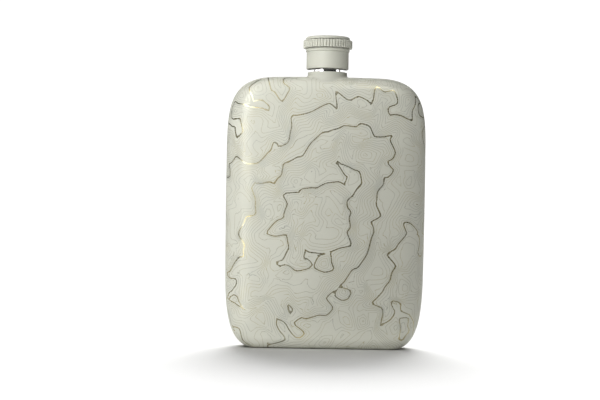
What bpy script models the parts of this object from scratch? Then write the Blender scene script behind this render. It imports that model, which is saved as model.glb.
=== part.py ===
"""Hip flask: a flat steel bottle in two drawn halves, with a welded neck and a screw cap.

Frame: +Z up through the neck, X across the width, Y through the thickness, the
front face towards -Y. The origin is in the middle of the flat that the flask
stands on. Lengths below are in millimetres and are turned into metres by MM.
"""

import math

import bmesh
import bpy

MM = 0.001

# ---- body -----------------------------------------------------------------
HALF_WIDTH = 44.36          # widest, at mid height
HALF_WIDTH_LOW = 44.15      # where the lower corner starts
SHOULDER_Z = 120.5          # top of the shoulder on the axis
SHOULDER_END_X = 22.0       # the shoulder line runs from the neck to here
SHOULDER_END_Z = 120.25
TOP_CORNER_Z = 88.0         # the upper corner starts here on the side
TOP_HANDLE_SIDE = 20.0      # curve handles of the upper corner
TOP_HANDLE_SHOULDER = 21.0
BASE_END_X = 29.0           # the base line runs from the axis to here
LOW_CORNER_Z = 32.0         # the lower corner ends here on the side
LOW_HANDLE_BASE = 12.0      # curve handles of the lower corner
LOW_HANDLE_SIDE = 21.0
LOW_HANDLE_LEAN = 0.25
HALF_DEPTH = 10.0           # half thickness where the edge rounding meets the face
CROWN = 1.0                 # the face rises this much more to its middle
SIDE_ROUND = 11.8           # how far the rounding reaches in from the side
TOP_ROUND = 7.0             # and from the shoulder
BASE_ROUND = 5.2            # and from the base
SIDE_POWER = 2.05           # roundness of the edge: 2 is an ellipse, more is squarer
TOP_POWER = 3.3
BASE_POWER = 3.6
BASE_SINK = 0.45            # the base is flattened by this much
WALL = 0.6
SEAM_GAP = 0.3              # between the two halves
NECK_HOLE_R = 8.4

# ---- neck -----------------------------------------------------------------
COLLAR_R = 8.78
COLLAR_FLARE = 1.1          # weld fillet at the foot of the collar
COLLAR_TOP_Z = 122.6
SHANK_R = 8.1               # plain bright ring under the cap
SHANK_TOP_Z = 123.7
NECK_FOOT_Z = 115.5
NECK_CORE_R = 6.9
NECK_BORE_R = 6.2
LIP_Z = 133.4
PITCH = 2.0
THREAD_CREST_R = 7.5
THREAD_START_Z = 125.6
THREAD_TURNS = 3.2

# ---- cap ------------------------------------------------------------------
CAP_FOOT_Z = 124.0
BARREL_R = 9.4
BARREL_BORE_R = 8.6
BEAD_R = 9.74
BEAD_Z = 131.7
BEAD_END_Z = 133.0
HUB_R = 9.1                 # the ribbed ring sits on this
HUB_TOP_Z = 136.7
ROOF_Z = 135.9
RING_FOOT_Z = 133.3
RING_TOP_Z = 136.8
RING_BORE_R = 9.4
RIB_R = 10.95
RIB_ROOT_R = 10.55
RIBS = 50
DISC_FOOT_Z = 137.1
DISC_TOP_Z = 138.4
DISC_R = 9.87
INSERT_R = 8.3
INSERT_BORE_R = 7.8
INSERT_FOOT_Z = 124.5
INSERT_ROOF_Z = 135.0
INSERT_TOP_Z = 135.6
INSERT_CREST_R = 7.2
INSERT_TURNS = 2.4
GASKET_R = 7.5
GASKET_BORE_R = 5.0
GASKET_FOOT_Z = 133.7
GASKET_TOP_Z = 134.7

CORNER_STEPS = 8
SIDE_STEPS = 5
SHOULDER_STEPS = 4
BASE_STEPS = 4
ROUND_STEPS = 6
FACE_STEPS = 3
TURN_STEPS = 40
HELIX_STEPS = 24


# ---- scene and materials ----------------------------------------------------
def clear_scene():
    for obj in list(bpy.data.objects):
        bpy.data.objects.remove(obj, do_unlink=True)


def make_material(name, colour, roughness, metallic):
    material = bpy.data.materials.new(name)
    material.use_nodes = True
    shader = material.node_tree.nodes["Principled BSDF"]
    shader.inputs["Base Color"].default_value = (*colour, 1.0)
    shader.inputs["Roughness"].default_value = roughness
    shader.inputs["Metallic"].default_value = metallic
    material.diffuse_color = (*colour, 1.0)
    return material


def add_object(name, bm, material, origin=(0.0, 0.0, 0.0), parent=None):
    """bm holds millimetres in the flask's frame; the object's origin goes to origin."""
    bmesh.ops.recalc_face_normals(bm, faces=bm.faces)
    for vert in bm.verts:
        vert.co = [(a - o) * MM for a, o in zip(vert.co, origin)]
    mesh = bpy.data.meshes.new(name)
    bm.to_mesh(mesh)
    bm.free()
    mesh.shade_smooth()
    mesh.set_sharp_from_angle(angle=math.radians(35))
    obj = bpy.data.objects.new(name, mesh)
    bpy.context.scene.collection.objects.link(obj)
    if material:
        obj.data.materials.append(material)
    if parent:
        obj.parent = parent
        base = parent.location
        obj.location = [o * MM - b for o, b in zip(origin, base)]
    else:
        obj.location = [o * MM for o in origin]
    return obj


def hide_helper(obj):
    obj.hide_render = True
    obj.display_type = "WIRE"
    return obj


def add_boolean(obj, other, operation):
    modifier = obj.modifiers.new(operation.lower(), "BOOLEAN")
    modifier.operation = operation
    modifier.solver = "EXACT"
    modifier.object = other
    return modifier


# ---- outline of the body ------------------------------------------------------
def bezier(a, b, c, d, t):
    s = 1.0 - t
    return tuple(
        s * s * s * p + 3 * s * s * t * q + 3 * s * t * t * r + t * t * t * w
        for p, q, r, w in zip(a, b, c, d)
    )


def half_outline(inset_side, inset_top, inset_base):
    """Points up the right-hand side, from the base's middle to the shoulder's middle.

    Each comes with three weights, which say how much of it is base, side and top.
    """
    wide = HALF_WIDTH - inset_side
    low_wide = HALF_WIDTH_LOW - inset_side
    low = inset_base - BASE_SINK
    high = SHOULDER_Z - inset_top
    high_end = SHOULDER_END_Z - inset_top
    shrink = 1.0 - inset_side / 30.0
    base_end = BASE_END_X - 0.35 * inset_side
    shoulder_end = SHOULDER_END_X - 0.15 * inset_side
    low_side_z = LOW_CORNER_Z - 0.25 * inset_side
    top_side_z = TOP_CORNER_Z + 0.1 * inset_side
    points = []
    for i in range(BASE_STEPS):
        points.append(((base_end * i / BASE_STEPS, low), (1.0, 0.0, 0.0)))
    for i in range(CORNER_STEPS):
        t = i / CORNER_STEPS
        p = bezier(
            (base_end, low),
            (base_end + LOW_HANDLE_BASE * shrink, low),
            (low_wide - LOW_HANDLE_LEAN, low_side_z - LOW_HANDLE_SIDE * shrink),
            (low_wide, low_side_z),
            t,
        )
        w = t * t * (3 - 2 * t)
        points.append((p, (1.0 - w, w, 0.0)))
    for i in range(SIDE_STEPS):
        t = i / SIDE_STEPS
        z = low_side_z + (top_side_z - low_side_z) * t
        bulge = 4 * t * (1 - t) * 0.12
        points.append(((low_wide + (wide - low_wide) * t + bulge, z), (0.0, 1.0, 0.0)))
    for i in range(CORNER_STEPS):
        t = i / CORNER_STEPS
        p = bezier(
            (wide, top_side_z),
            (wide, top_side_z + TOP_HANDLE_SIDE * shrink),
            (shoulder_end + TOP_HANDLE_SHOULDER * shrink, high_end - 0.1),
            (shoulder_end, high_end),
            t,
        )
        w = t * t * (3 - 2 * t)
        points.append((p, (0.0, 1.0 - w, w)))
    for i in range(SHOULDER_STEPS + 1):
        t = i / SHOULDER_STEPS
        x = shoulder_end * (1.0 - t)
        z = high - (high - high_end) * (1.0 - t) ** 2
        points.append(((x, z), (0.0, 0.0, 1.0)))
    return points


def full_outline(inset_side, inset_top, inset_base):
    right = half_outline(inset_side, inset_top, inset_base)
    left = [((-p[0], p[1]), w) for p, w in right[-2:0:-1]]
    return right + left


def shell_rings(wall):
    """Closed rings of points from the seam to the middle of the face, as (x, depth, z).

    wall moves the whole surface inwards, which gives the inner skin.
    """
    outer = full_outline(wall, wall, wall + BASE_SINK if wall else 0.0)
    inner = full_outline(SIDE_ROUND, TOP_ROUND, BASE_ROUND)
    depth = HALF_DEPTH - wall
    rings = []
    steps = ROUND_STEPS if not wall else ROUND_STEPS - 1
    for i in range(steps + 1):
        angle = 0.5 * math.pi * i / steps
        ring = []
        for (o, weight), (k, _) in zip(outer, inner):
            power = 2.0 / (
                weight[0] * BASE_POWER + weight[1] * SIDE_POWER + weight[2] * TOP_POWER
            )
            along = math.cos(angle) ** power if i < steps else 0.0
            rise = math.sin(angle) ** power if i else 0.0
            x = k[0] + (o[0] - k[0]) * along
            z = k[1] + (o[1] - k[1]) * along
            part = 0.3 * (1.0 - along)
            crown = CROWN * (1.0 - (1.0 - part) ** 2)
            ring.append((x, rise * depth + crown, max(z, wall)))
        rings.append(ring)
    middle = [(0.0, 60.0 + 0.42 * (k[1] - 60.0)) for k, _ in inner]
    for i in range(1, FACE_STEPS):
        t = i / FACE_STEPS
        ring = []
        for (k, _), m in zip(inner, middle):
            part = 0.3 + 0.7 * t
            crown = CROWN * (1.0 - (1.0 - part) ** 2)
            ring.append(
                (k[0] + (m[0] - k[0]) * t, depth + crown, k[1] + (m[1] - k[1]) * t)
            )
        rings.append(ring)
    return rings


def spine_of(ring_count, wall):
    """Points up the middle of the face that close the last ring."""
    inner = half_outline(SIDE_ROUND, TOP_ROUND, BASE_ROUND)
    return [
        (0.0, HALF_DEPTH - wall + CROWN, 60.0 + 0.42 * (k[1] - 60.0)) for k, _ in inner
    ]


def half_shell(side):
    """One drawn half. side is -1 for the front, +1 for the back."""
    bm = bmesh.new()
    seam = 0.5 * SEAM_GAP

    def skin(wall):
        rings = shell_rings(wall)
        grid = []
        for ring in rings:
            grid.append([bm.verts.new((x, side * max(y, seam), z)) for x, y, z in ring])
        count = len(grid[0])
        half = count // 2
        spine = [bm.verts.new((x, side * y, z)) for x, y, z in spine_of(len(rings), wall)]
        closing = spine + spine[-2:0:-1]
        for low, high in zip(grid, grid[1:] + [closing]):
            for i in range(count):
                j = (i + 1) % count
                corners = []
                for vert in (low[i], low[j], high[j], high[i]):
                    if vert not in corners:
                        corners.append(vert)
                if len(corners) > 2:
                    bm.faces.new(corners)
        assert len(spine) == half + 1
        return grid[0]

    outer_rim = skin(0.0)
    inner_rim = skin(WALL)
    count = len(outer_rim)
    for i in range(count):
        j = (i + 1) % count
        bm.faces.new((outer_rim[i], inner_rim[i], inner_rim[j], outer_rim[j]))
    return bm


# ---- turned pieces --------------------------------------------------------------
def lathe(profile, steps=TURN_STEPS, radius_of=None, height_of=None):
    """Turns a closed loop of (r, z) points about the axis. A point at r = 0 is a pole."""
    bm = bmesh.new()
    columns = []
    poles = {}
    for i in range(steps):
        angle = 2 * math.pi * i / steps
        column = []
        for k, (r, z) in enumerate(profile):
            if r == 0:
                if k not in poles:
                    poles[k] = bm.verts.new((0, 0, z))
                column.append(poles[k])
                continue
            rr = radius_of(k, r, i) if radius_of else r
            zz = height_of(k, rr, z, angle) if height_of else z
            column.append(bm.verts.new((rr * math.cos(angle), rr * math.sin(angle), zz)))
        columns.append(column)
    rows = len(profile)
    for a, b in zip(columns, columns[1:] + columns[:1]):
        for k in range(rows):
            m = (k + 1) % rows
            corners = []
            for vert in (a[k], b[k], b[m], a[m]):
                if vert not in corners:
                    corners.append(vert)
            if len(corners) > 2:
                bm.faces.new(corners)
    return bm


def helix_ridge(root_r, crest_r, z_start, turns, root_width, crest_width):
    """A screw thread's ridge as one closed body, fading into its wall at both ends.

    It climbs one pitch for each anticlockwise turn seen from above.
    """
    bm = bmesh.new()
    count = int(round(turns * HELIX_STEPS))
    fade = HELIX_STEPS // 4
    sections = []
    for i in range(count + 1):
        angle = 2 * math.pi * i / HELIX_STEPS
        ends = min(1.0, i / fade, (count - i) / fade)
        crest = root_r + (crest_r - root_r) * (0.12 + 0.88 * ends)
        z = z_start + PITCH * i / HELIX_STEPS
        section = []
        for r, dz in (
            (root_r, -0.5 * root_width),
            (crest, -0.5 * crest_width),
            (crest, 0.5 * crest_width),
            (root_r, 0.5 * root_width),
        ):
            section.append(bm.verts.new((r * math.cos(angle), r * math.sin(angle), z + dz)))
        sections.append(section)
    for a, b in zip(sections, sections[1:]):
        for k in range(4):
            m = (k + 1) % 4
            bm.faces.new((a[k], b[k], b[m], a[m]))
    bm.faces.new(sections[0])
    bm.faces.new(sections[-1])
    return bm


def shoulder_height(x, y):
    """Height of the shoulder's outer skin near the axis."""
    drop = (SHOULDER_Z - SHOULDER_END_Z) * (x / SHOULDER_END_X) ** 2
    across = min(abs(y) / HALF_DEPTH, 0.999)
    along = (1.0 - across**TOP_POWER) ** (1.0 / TOP_POWER)
    return SHOULDER_Z - drop - TOP_ROUND * (1.0 - along)


# ---- the flask --------------------------------------------------------------------
def build():
    clear_scene()
    paint = {}
    paint["front"] = make_material("front_shell_paint", (0.48, 0.48, 0.41), 0.6, 0.0)
    paint["back"] = make_material("back_shell_paint", (0.48, 0.48, 0.41), 0.6, 0.0)
    paint["collar"] = make_material("neck_collar_paint", (0.49, 0.49, 0.42), 0.6, 0.0)
    paint["cap"] = make_material("cap_shell_paint", (0.49, 0.49, 0.42), 0.6, 0.0)
    paint["ring"] = make_material("cap_grip_ring_paint", (0.48, 0.48, 0.41), 0.6, 0.0)
    paint["disc"] = make_material("cap_top_disc_paint", (0.49, 0.49, 0.42), 0.6, 0.0)
    steel = make_material("neck_polished_steel", (0.75, 0.75, 0.76), 0.08, 1.0)
    plastic = make_material("insert_polypropylene", (0.8, 0.8, 0.78), 0.4, 0.0)
    silicone = make_material("gasket_silicone", (0.7, 0.7, 0.68), 0.55, 0.0)

    # Body halves, notched together by one round cutter for the neck.
    cutter = hide_helper(
        add_object(
            "neck_hole_cutter",
            lathe([(0, 140), (0, 105), (NECK_HOLE_R, 105), (NECK_HOLE_R, 140)]),
            None,
        )
    )
    front = add_object("front_shell", half_shell(-1), paint["front"])
    back = add_object("back_shell", half_shell(1), paint["back"])
    add_boolean(front, cutter, "DIFFERENCE")
    add_boolean(back, cutter, "DIFFERENCE")

    # Collar: a low ring whose foot follows the shoulder, flared by its weld.
    def collar_radius(k, r, i):
        if r <= COLLAR_R:
            return r
        across = abs(math.cos(2 * math.pi * i / TURN_STEPS))
        return COLLAR_R + (r - COLLAR_R) * (0.25 + 0.75 * across)

    def collar_height(k, r, z, angle):
        if z < 110:
            return shoulder_height(r * math.cos(angle), r * math.sin(angle)) + z
        return z

    add_object(
        "neck_collar",
        lathe(
            [
                (NECK_HOLE_R, COLLAR_TOP_Z - 0.1),
                (NECK_HOLE_R, 0.4),
                (COLLAR_R, 0.4),
                (COLLAR_R + 0.5 * COLLAR_FLARE, 0.4),
                (COLLAR_R + COLLAR_FLARE, 0.4),
                (COLLAR_R + 0.5 * COLLAR_FLARE, 0.65),
                (COLLAR_R + 0.1 * COLLAR_FLARE, 1.1),
                (COLLAR_R, COLLAR_TOP_Z - 0.25),
                (COLLAR_R - 0.2, COLLAR_TOP_Z),
                (NECK_HOLE_R + 0.05, COLLAR_TOP_Z),
            ],
            radius_of=collar_radius,
            height_of=collar_height,
        ),
        paint["collar"],
    )

    # Neck: a tube with a plain shank, a relieved core and a male thread.
    ridge_width, crest_width = 0.9, 0.5
    neck_ridge = hide_helper(
        add_object(
            "neck_thread_ridge",
            helix_ridge(
                NECK_CORE_R - 0.25, THREAD_CREST_R, THREAD_START_Z, THREAD_TURNS,
                ridge_width, crest_width,
            ),
            None,
        )
    )
    neck = add_object(
        "threaded_neck",
        lathe(
            [
                (NECK_BORE_R, NECK_FOOT_Z),
                (SHANK_R, NECK_FOOT_Z),
                (SHANK_R, SHANK_TOP_Z - 0.2),
                (SHANK_R - 0.2, SHANK_TOP_Z),
                (NECK_CORE_R, SHANK_TOP_Z + 0.2),
                (NECK_CORE_R, LIP_Z - 0.2),
                (NECK_CORE_R - 0.2, LIP_Z),
                (NECK_BORE_R + 0.15, LIP_Z),
                (NECK_BORE_R, LIP_Z - 0.2),
            ]
        ),
        steel,
    )
    add_boolean(neck, neck_ridge, "UNION")

    # Cap: everything here turns about the neck's axis, so it hangs on one empty there.
    axis = bpy.data.objects.new("cap_axis", None)
    axis.location = (0.0, 0.0, CAP_FOOT_Z * MM)
    bpy.context.scene.collection.objects.link(axis)
    pivot = (0.0, 0.0, CAP_FOOT_Z)

    add_object(
        "cap_shell",
        lathe(
            [
                (BARREL_BORE_R, CAP_FOOT_Z),
                (BARREL_R - 0.25, CAP_FOOT_Z),
                (BARREL_R, CAP_FOOT_Z + 0.25),
                (BARREL_R, BEAD_Z - 0.15),
                (BEAD_R, BEAD_Z + 0.15),
                (BEAD_R - 0.05, BEAD_Z + 0.6),
                (BARREL_R, BEAD_END_Z),
                (HUB_R, BEAD_END_Z),
                (HUB_R, HUB_TOP_Z),
                (0, HUB_TOP_Z),
                (0, ROOF_Z),
                (BARREL_BORE_R, ROOF_Z),
            ]
        ),
        paint["cap"],
        pivot,
        axis,
    )

    def rib_radius(k, r, i):
        return (RIB_ROOT_R + (r - RIB_R)) if (i % 2 and r > RIB_ROOT_R - 0.3) else r

    add_object(
        "cap_grip_ring",
        lathe(
            [
                (RING_BORE_R, RING_FOOT_Z),
                (RIB_R - 0.25, RING_FOOT_Z),
                (RIB_R, RING_FOOT_Z + 0.3),
                (RIB_R, RING_TOP_Z - 0.3),
                (RIB_R - 0.25, RING_TOP_Z),
                (RING_BORE_R, RING_TOP_Z),
            ],
            steps=2 * RIBS,
            radius_of=rib_radius,
        ),
        paint["ring"],
        pivot,
        axis,
    )
    add_object(
        "cap_top_disc",
        lathe(
            [
                (0, DISC_FOOT_Z),
                (DISC_R, DISC_FOOT_Z),
                (DISC_R, DISC_TOP_Z - 0.8),
                (DISC_R - 0.25, DISC_TOP_Z - 0.25),
                (DISC_R - 0.8, DISC_TOP_Z),
                (0, DISC_TOP_Z),
            ]
        ),
        paint["disc"],
        pivot,
        axis,
    )
    insert_ridge = hide_helper(
        add_object(
            "insert_thread_ridge",
            helix_ridge(
                INSERT_BORE_R + 0.25, INSERT_CREST_R, THREAD_START_Z + 0.5 * PITCH,
                INSERT_TURNS, ridge_width, crest_width,
            ),
            None,
            pivot,
            axis,
        )
    )
    insert = add_object(
        "cap_thread_insert",
        lathe(
            [
                (INSERT_BORE_R, INSERT_FOOT_Z),
                (INSERT_R, INSERT_FOOT_Z),
                (INSERT_R, INSERT_TOP_Z),
                (0, INSERT_TOP_Z),
                (0, INSERT_ROOF_Z),
                (INSERT_BORE_R, INSERT_ROOF_Z),
            ]
        ),
        plastic,
        pivot,
        axis,
    )
    add_boolean(insert, insert_ridge, "UNION")
    add_object(
        "cap_gasket",
        lathe(
            [
                (GASKET_BORE_R, GASKET_FOOT_Z),
                (GASKET_R - 0.1, GASKET_FOOT_Z),
                (GASKET_R, GASKET_FOOT_Z + 0.1),
                (GASKET_R, GASKET_TOP_Z - 0.1),
                (GASKET_R - 0.1, GASKET_TOP_Z),
                (GASKET_BORE_R, GASKET_TOP_Z),
            ],
            steps=32,
        ),
        silicone,
        pivot,
        axis,
    )


build()
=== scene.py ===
import math

import bmesh
import bpy
import numpy as np
from mathutils import Matrix, Vector, geometry


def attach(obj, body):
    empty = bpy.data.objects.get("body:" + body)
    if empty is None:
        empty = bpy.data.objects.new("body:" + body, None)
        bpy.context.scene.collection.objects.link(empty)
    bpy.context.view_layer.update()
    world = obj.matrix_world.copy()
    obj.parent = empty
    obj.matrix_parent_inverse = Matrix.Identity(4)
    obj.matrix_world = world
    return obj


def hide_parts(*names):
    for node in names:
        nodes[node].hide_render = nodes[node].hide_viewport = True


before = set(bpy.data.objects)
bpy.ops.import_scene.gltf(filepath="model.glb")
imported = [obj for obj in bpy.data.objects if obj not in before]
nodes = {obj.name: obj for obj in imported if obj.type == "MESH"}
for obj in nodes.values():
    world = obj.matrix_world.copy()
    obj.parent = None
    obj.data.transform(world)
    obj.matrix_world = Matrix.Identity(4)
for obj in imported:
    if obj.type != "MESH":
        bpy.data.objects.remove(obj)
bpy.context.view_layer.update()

MM = 0.001

# ---- the body's shape, in millimetres, as the CAD model has it ---------------------
HALF_WIDTH = 44.36
HALF_WIDTH_LOW = 44.15
SHOULDER_Z = 120.5
SHOULDER_END_X = 22.0
SHOULDER_END_Z = 120.25
TOP_CORNER_Z = 88.0
TOP_HANDLE_SIDE = 20.0
TOP_HANDLE_SHOULDER = 21.0
BASE_END_X = 29.0
LOW_CORNER_Z = 32.0
LOW_HANDLE_BASE = 12.0
LOW_HANDLE_SIDE = 21.0
LOW_HANDLE_LEAN = 0.25
HALF_DEPTH = 10.0
CROWN = 1.0
SIDE_ROUND = 11.8
TOP_ROUND = 7.0
BASE_ROUND = 5.2
POWERS = np.array([3.6, 2.05, 3.3])     # base, side, top
BASE_SINK = 0.45
WALL = 0.6
HOLE_R = 8.32                           # in the shoulder, for the neck

COLLAR_R = 8.78
COLLAR_TOP_Z = 122.6
SHANK_R = 8.1
SHANK_TOP_Z = 123.7
NECK_FOOT_Z = 115.5
NECK_CORE_R = 6.9
NECK_BORE_R = 6.2
LIP_Z = 133.4
PITCH = 2.0
THREAD_CREST_R = 7.5
THREAD_START_Z = 125.6
THREAD_TURNS = 3.2

CAP_FOOT_Z = 124.0
BARREL_R = 9.4
BARREL_BORE_R = 8.6
BEAD_R = 9.74
BEAD_Z = 131.7
BEAD_END_Z = 133.0
HUB_R = 9.1
HUB_TOP_Z = 136.7
ROOF_Z = 135.9
RING_FOOT_Z = 133.3
RING_TOP_Z = 136.8
RING_BORE_R = 9.4
RIB_R = 10.95
RIB_ROOT_R = 10.35
RIBS = 50
DISC_FOOT_Z = 137.1
DISC_TOP_Z = 138.4
DISC_R = 9.87

# ---- the engraving, in millimetres --------------------------------------------------
INDEX_EVERY = 10                        # every tenth line is a broad one
INDEX_WIDTH = 0.68
INDEX_WALL = 0.06                       # width of the sloping wall on each side
INDEX_DEPTH = 0.05
FINE_WIDTH = 0.19


# ---- camera -----------------------------------------------------------------------
cam_data = bpy.data.cameras.new("camera")
cam_data.lens = 87.3
cam_data.sensor_width = 36.0
cam_data.clip_start = 0.01
cam_data.clip_end = 60.0
camera = bpy.data.objects.new("camera", cam_data)
bpy.context.scene.collection.objects.link(camera)
camera.matrix_world = (
    Matrix.Translation((-0.0113, -0.650, 0.0656))
    @ Matrix.Rotation(math.radians(90.0), 4, "X")
    @ Matrix.Rotation(math.radians(0.95), 4, "Z")
)
bpy.context.scene.camera = camera
bpy.context.scene.view_settings.view_transform = "Standard"


# ---- materials ----------------------------------------------------------------------
class Nodes:
    """A short way to write node trees."""

    def __init__(self, name):
        self.material = bpy.data.materials.new(name)
        self.material.use_nodes = True
        self.tree = self.material.node_tree
        self.shader = self.tree.nodes["Principled BSDF"]
        self.coords = self.tree.nodes.new("ShaderNodeTexCoord").outputs["Object"]

    def link(self, a, b):
        self.tree.links.new(a, b)

    def noise(self, scale, detail=3.0, rough=0.5, stretch=None):
        vector = self.coords
        if stretch:
            mapping = self.tree.nodes.new("ShaderNodeMapping")
            mapping.inputs["Scale"].default_value = stretch
            self.link(vector, mapping.inputs["Vector"])
            vector = mapping.outputs["Vector"]
        n = self.tree.nodes.new("ShaderNodeTexNoise")
        n.inputs["Scale"].default_value = scale
        n.inputs["Detail"].default_value = detail
        n.inputs["Roughness"].default_value = rough
        self.link(vector, n.inputs["Vector"])
        return n.outputs["Fac"]

    def remap(self, value, low, high, a, b):
        n = self.tree.nodes.new("ShaderNodeMapRange")
        n.inputs["From Min"].default_value = low
        n.inputs["From Max"].default_value = high
        n.inputs["To Min"].default_value = a
        n.inputs["To Max"].default_value = b
        self.link(value, n.inputs["Value"])
        return n.outputs["Result"]

    def mix(self, fac, a, b):
        n = self.tree.nodes.new("ShaderNodeMix")
        n.data_type = "RGBA"
        n.inputs["A"].default_value = (*a, 1.0)
        n.inputs["B"].default_value = (*b, 1.0)
        self.link(fac, n.inputs["Factor"])
        return n.outputs["Result"]

    def add(self, a, b, weight=1.0):
        n = self.tree.nodes.new("ShaderNodeMath")
        n.operation = "MULTIPLY_ADD"
        n.inputs[1].default_value = weight
        self.link(b, n.inputs[0])
        self.link(a, n.inputs[2])
        return n.outputs[0]

    def bump(self, height, strength, distance):
        n = self.tree.nodes.new("ShaderNodeBump")
        n.inputs["Strength"].default_value = strength
        n.inputs["Distance"].default_value = distance
        self.link(height, n.inputs["Height"])
        self.link(n.outputs["Normal"], self.shader.inputs["Normal"])

    def set(self, **values):
        for key, value in values.items():
            self.shader.inputs[key.replace("_", " ")].default_value = value


def powder_coat(name, colour, grain=1.0):
    """Matt powder coat: a fine orange peel with a little mottling of the colour."""
    n = Nodes(name)
    broad = n.noise(70.0, 2.0)
    grain_noise = n.noise(2600.0, 2.0, 0.6)
    speck = n.noise(5200.0, 1.0)
    both = n.add(broad, grain_noise, 0.7)
    dark = tuple(c * 0.955 for c in colour)
    light = tuple(min(1.0, c * 1.035) for c in colour)
    n.link(n.mix(n.remap(both, 0.55, 1.15, 0.0, 1.0), dark, light), n.shader.inputs["Base Color"])
    n.link(n.remap(grain_noise, 0.3, 0.7, 0.48, 0.58), n.shader.inputs["Roughness"])
    n.set(Metallic=0.0, IOR=1.45)
    n.bump(n.add(grain_noise, speck, 0.4), 0.22 * grain, 0.00005)
    n.material.diffuse_color = (*colour, 1.0)
    return n.material


def etched_steel(name, colour, roughness, metallic, spread):
    """Steel laid bare by a laser: warm heat tint, and fine scan marks."""
    n = Nodes(name)
    tint = n.noise(160.0, 3.0)
    marks = n.noise(1400.0, 2.0, 0.6, (1.0, 1.0, 6.0))
    cool = tuple(c * k for c, k in zip(colour, (0.90, 0.94, 1.04)))
    warm = tuple(min(1.0, c * k) for c, k in zip(colour, (1.08, 1.03, 0.86)))
    n.link(n.mix(n.remap(tint, 0.35, 0.65, 0.0, 1.0), cool, warm), n.shader.inputs["Base Color"])
    n.link(n.remap(marks, 0.3, 0.7, roughness - spread, roughness + spread), n.shader.inputs["Roughness"])
    n.set(Metallic=metallic)
    n.bump(marks, 0.05, 0.00002)
    n.material.diffuse_color = (*colour, 1.0)
    return n.material


def turned_steel(name, colour, low, high):
    """Polished steel with the faint rings that turning leaves."""
    n = Nodes(name)
    rings = n.noise(90.0, 3.0, 0.6, (1.0, 1.0, 60.0))
    smudge = n.noise(220.0, 3.0)
    pale = tuple(min(1.0, c * 1.04) for c in colour)
    n.link(n.mix(n.remap(smudge, 0.35, 0.65, 0.0, 1.0), colour, pale), n.shader.inputs["Base Color"])
    n.link(n.remap(n.add(rings, smudge, 0.5), 0.45, 1.05, low, high), n.shader.inputs["Roughness"])
    n.set(Metallic=1.0)
    n.bump(rings, 0.06, 0.00002)
    n.material.diffuse_color = (*colour, 1.0)
    return n.material


def moulded(name, colour, rough, ior, transmission=0.0, scale=900.0):
    """A moulded plastic or rubber: even colour, slight flow marks, fine matt texture."""
    n = Nodes(name)
    flow = n.noise(120.0, 3.0, 0.5, (1.0, 1.0, 3.0))
    tex = n.noise(scale, 2.0)
    dark = tuple(c * 0.93 for c in colour)
    n.link(n.mix(n.remap(flow, 0.3, 0.7, 0.0, 1.0), dark, colour), n.shader.inputs["Base Color"])
    n.link(n.remap(tex, 0.3, 0.7, rough - 0.06, rough + 0.06), n.shader.inputs["Roughness"])
    n.set(Metallic=0.0, IOR=ior)
    n.shader.inputs["Transmission Weight"].default_value = transmission
    n.bump(tex, 0.2, 0.00003)
    n.material.diffuse_color = (*colour, 1.0)
    return n.material


PAINT = (0.492, 0.494, 0.425)
paint_body = powder_coat("powder_coat_body", PAINT)
paint_cap = powder_coat("powder_coat_cap", tuple(c * 1.04 for c in PAINT), 0.9)
etch_index = etched_steel("etched_index_line", (0.325, 0.302, 0.208), 0.28, 1.0, 0.03)
etch_fine = etched_steel("etched_fine_line", (0.365, 0.356, 0.285), 0.33, 0.6, 0.05)
steel_neck = turned_steel("turned_steel_neck", (0.80, 0.80, 0.80), 0.05, 0.12)
steel_inner = turned_steel("drawn_steel_inside", (0.60, 0.60, 0.61), 0.26, 0.40)
plastic = moulded("insert_polypropylene", (0.82, 0.82, 0.79), 0.42, 1.49)
silicone = moulded("gasket_silicone", (0.74, 0.74, 0.71), 0.5, 1.41, 0.15, 700.0)


# ---- contour field -------------------------------------------------------------------
CELL = 0.25
MAP_X0, MAP_X1, MAP_Z0, MAP_Z1 = -74.0, 74.0, -34.0, 158.0
NX = int((MAP_X1 - MAP_X0) / CELL) + 1
NZ = int((MAP_Z1 - MAP_Z0) / CELL) + 1


def blur(grid, sigma):
    reach = int(3 * sigma + 1)
    kernel = np.exp(-0.5 * (np.arange(-reach, reach + 1) / sigma) ** 2)
    kernel /= kernel.sum()
    padded = np.pad(grid, reach, mode="edge")
    out = np.zeros((padded.shape[0], grid.shape[1]))
    for k, weight in enumerate(kernel):
        out += weight * padded[:, k : k + grid.shape[1]]
    done = np.zeros(grid.shape)
    for k, weight in enumerate(kernel):
        done += weight * out[k : k + grid.shape[0]]
    return done


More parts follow.
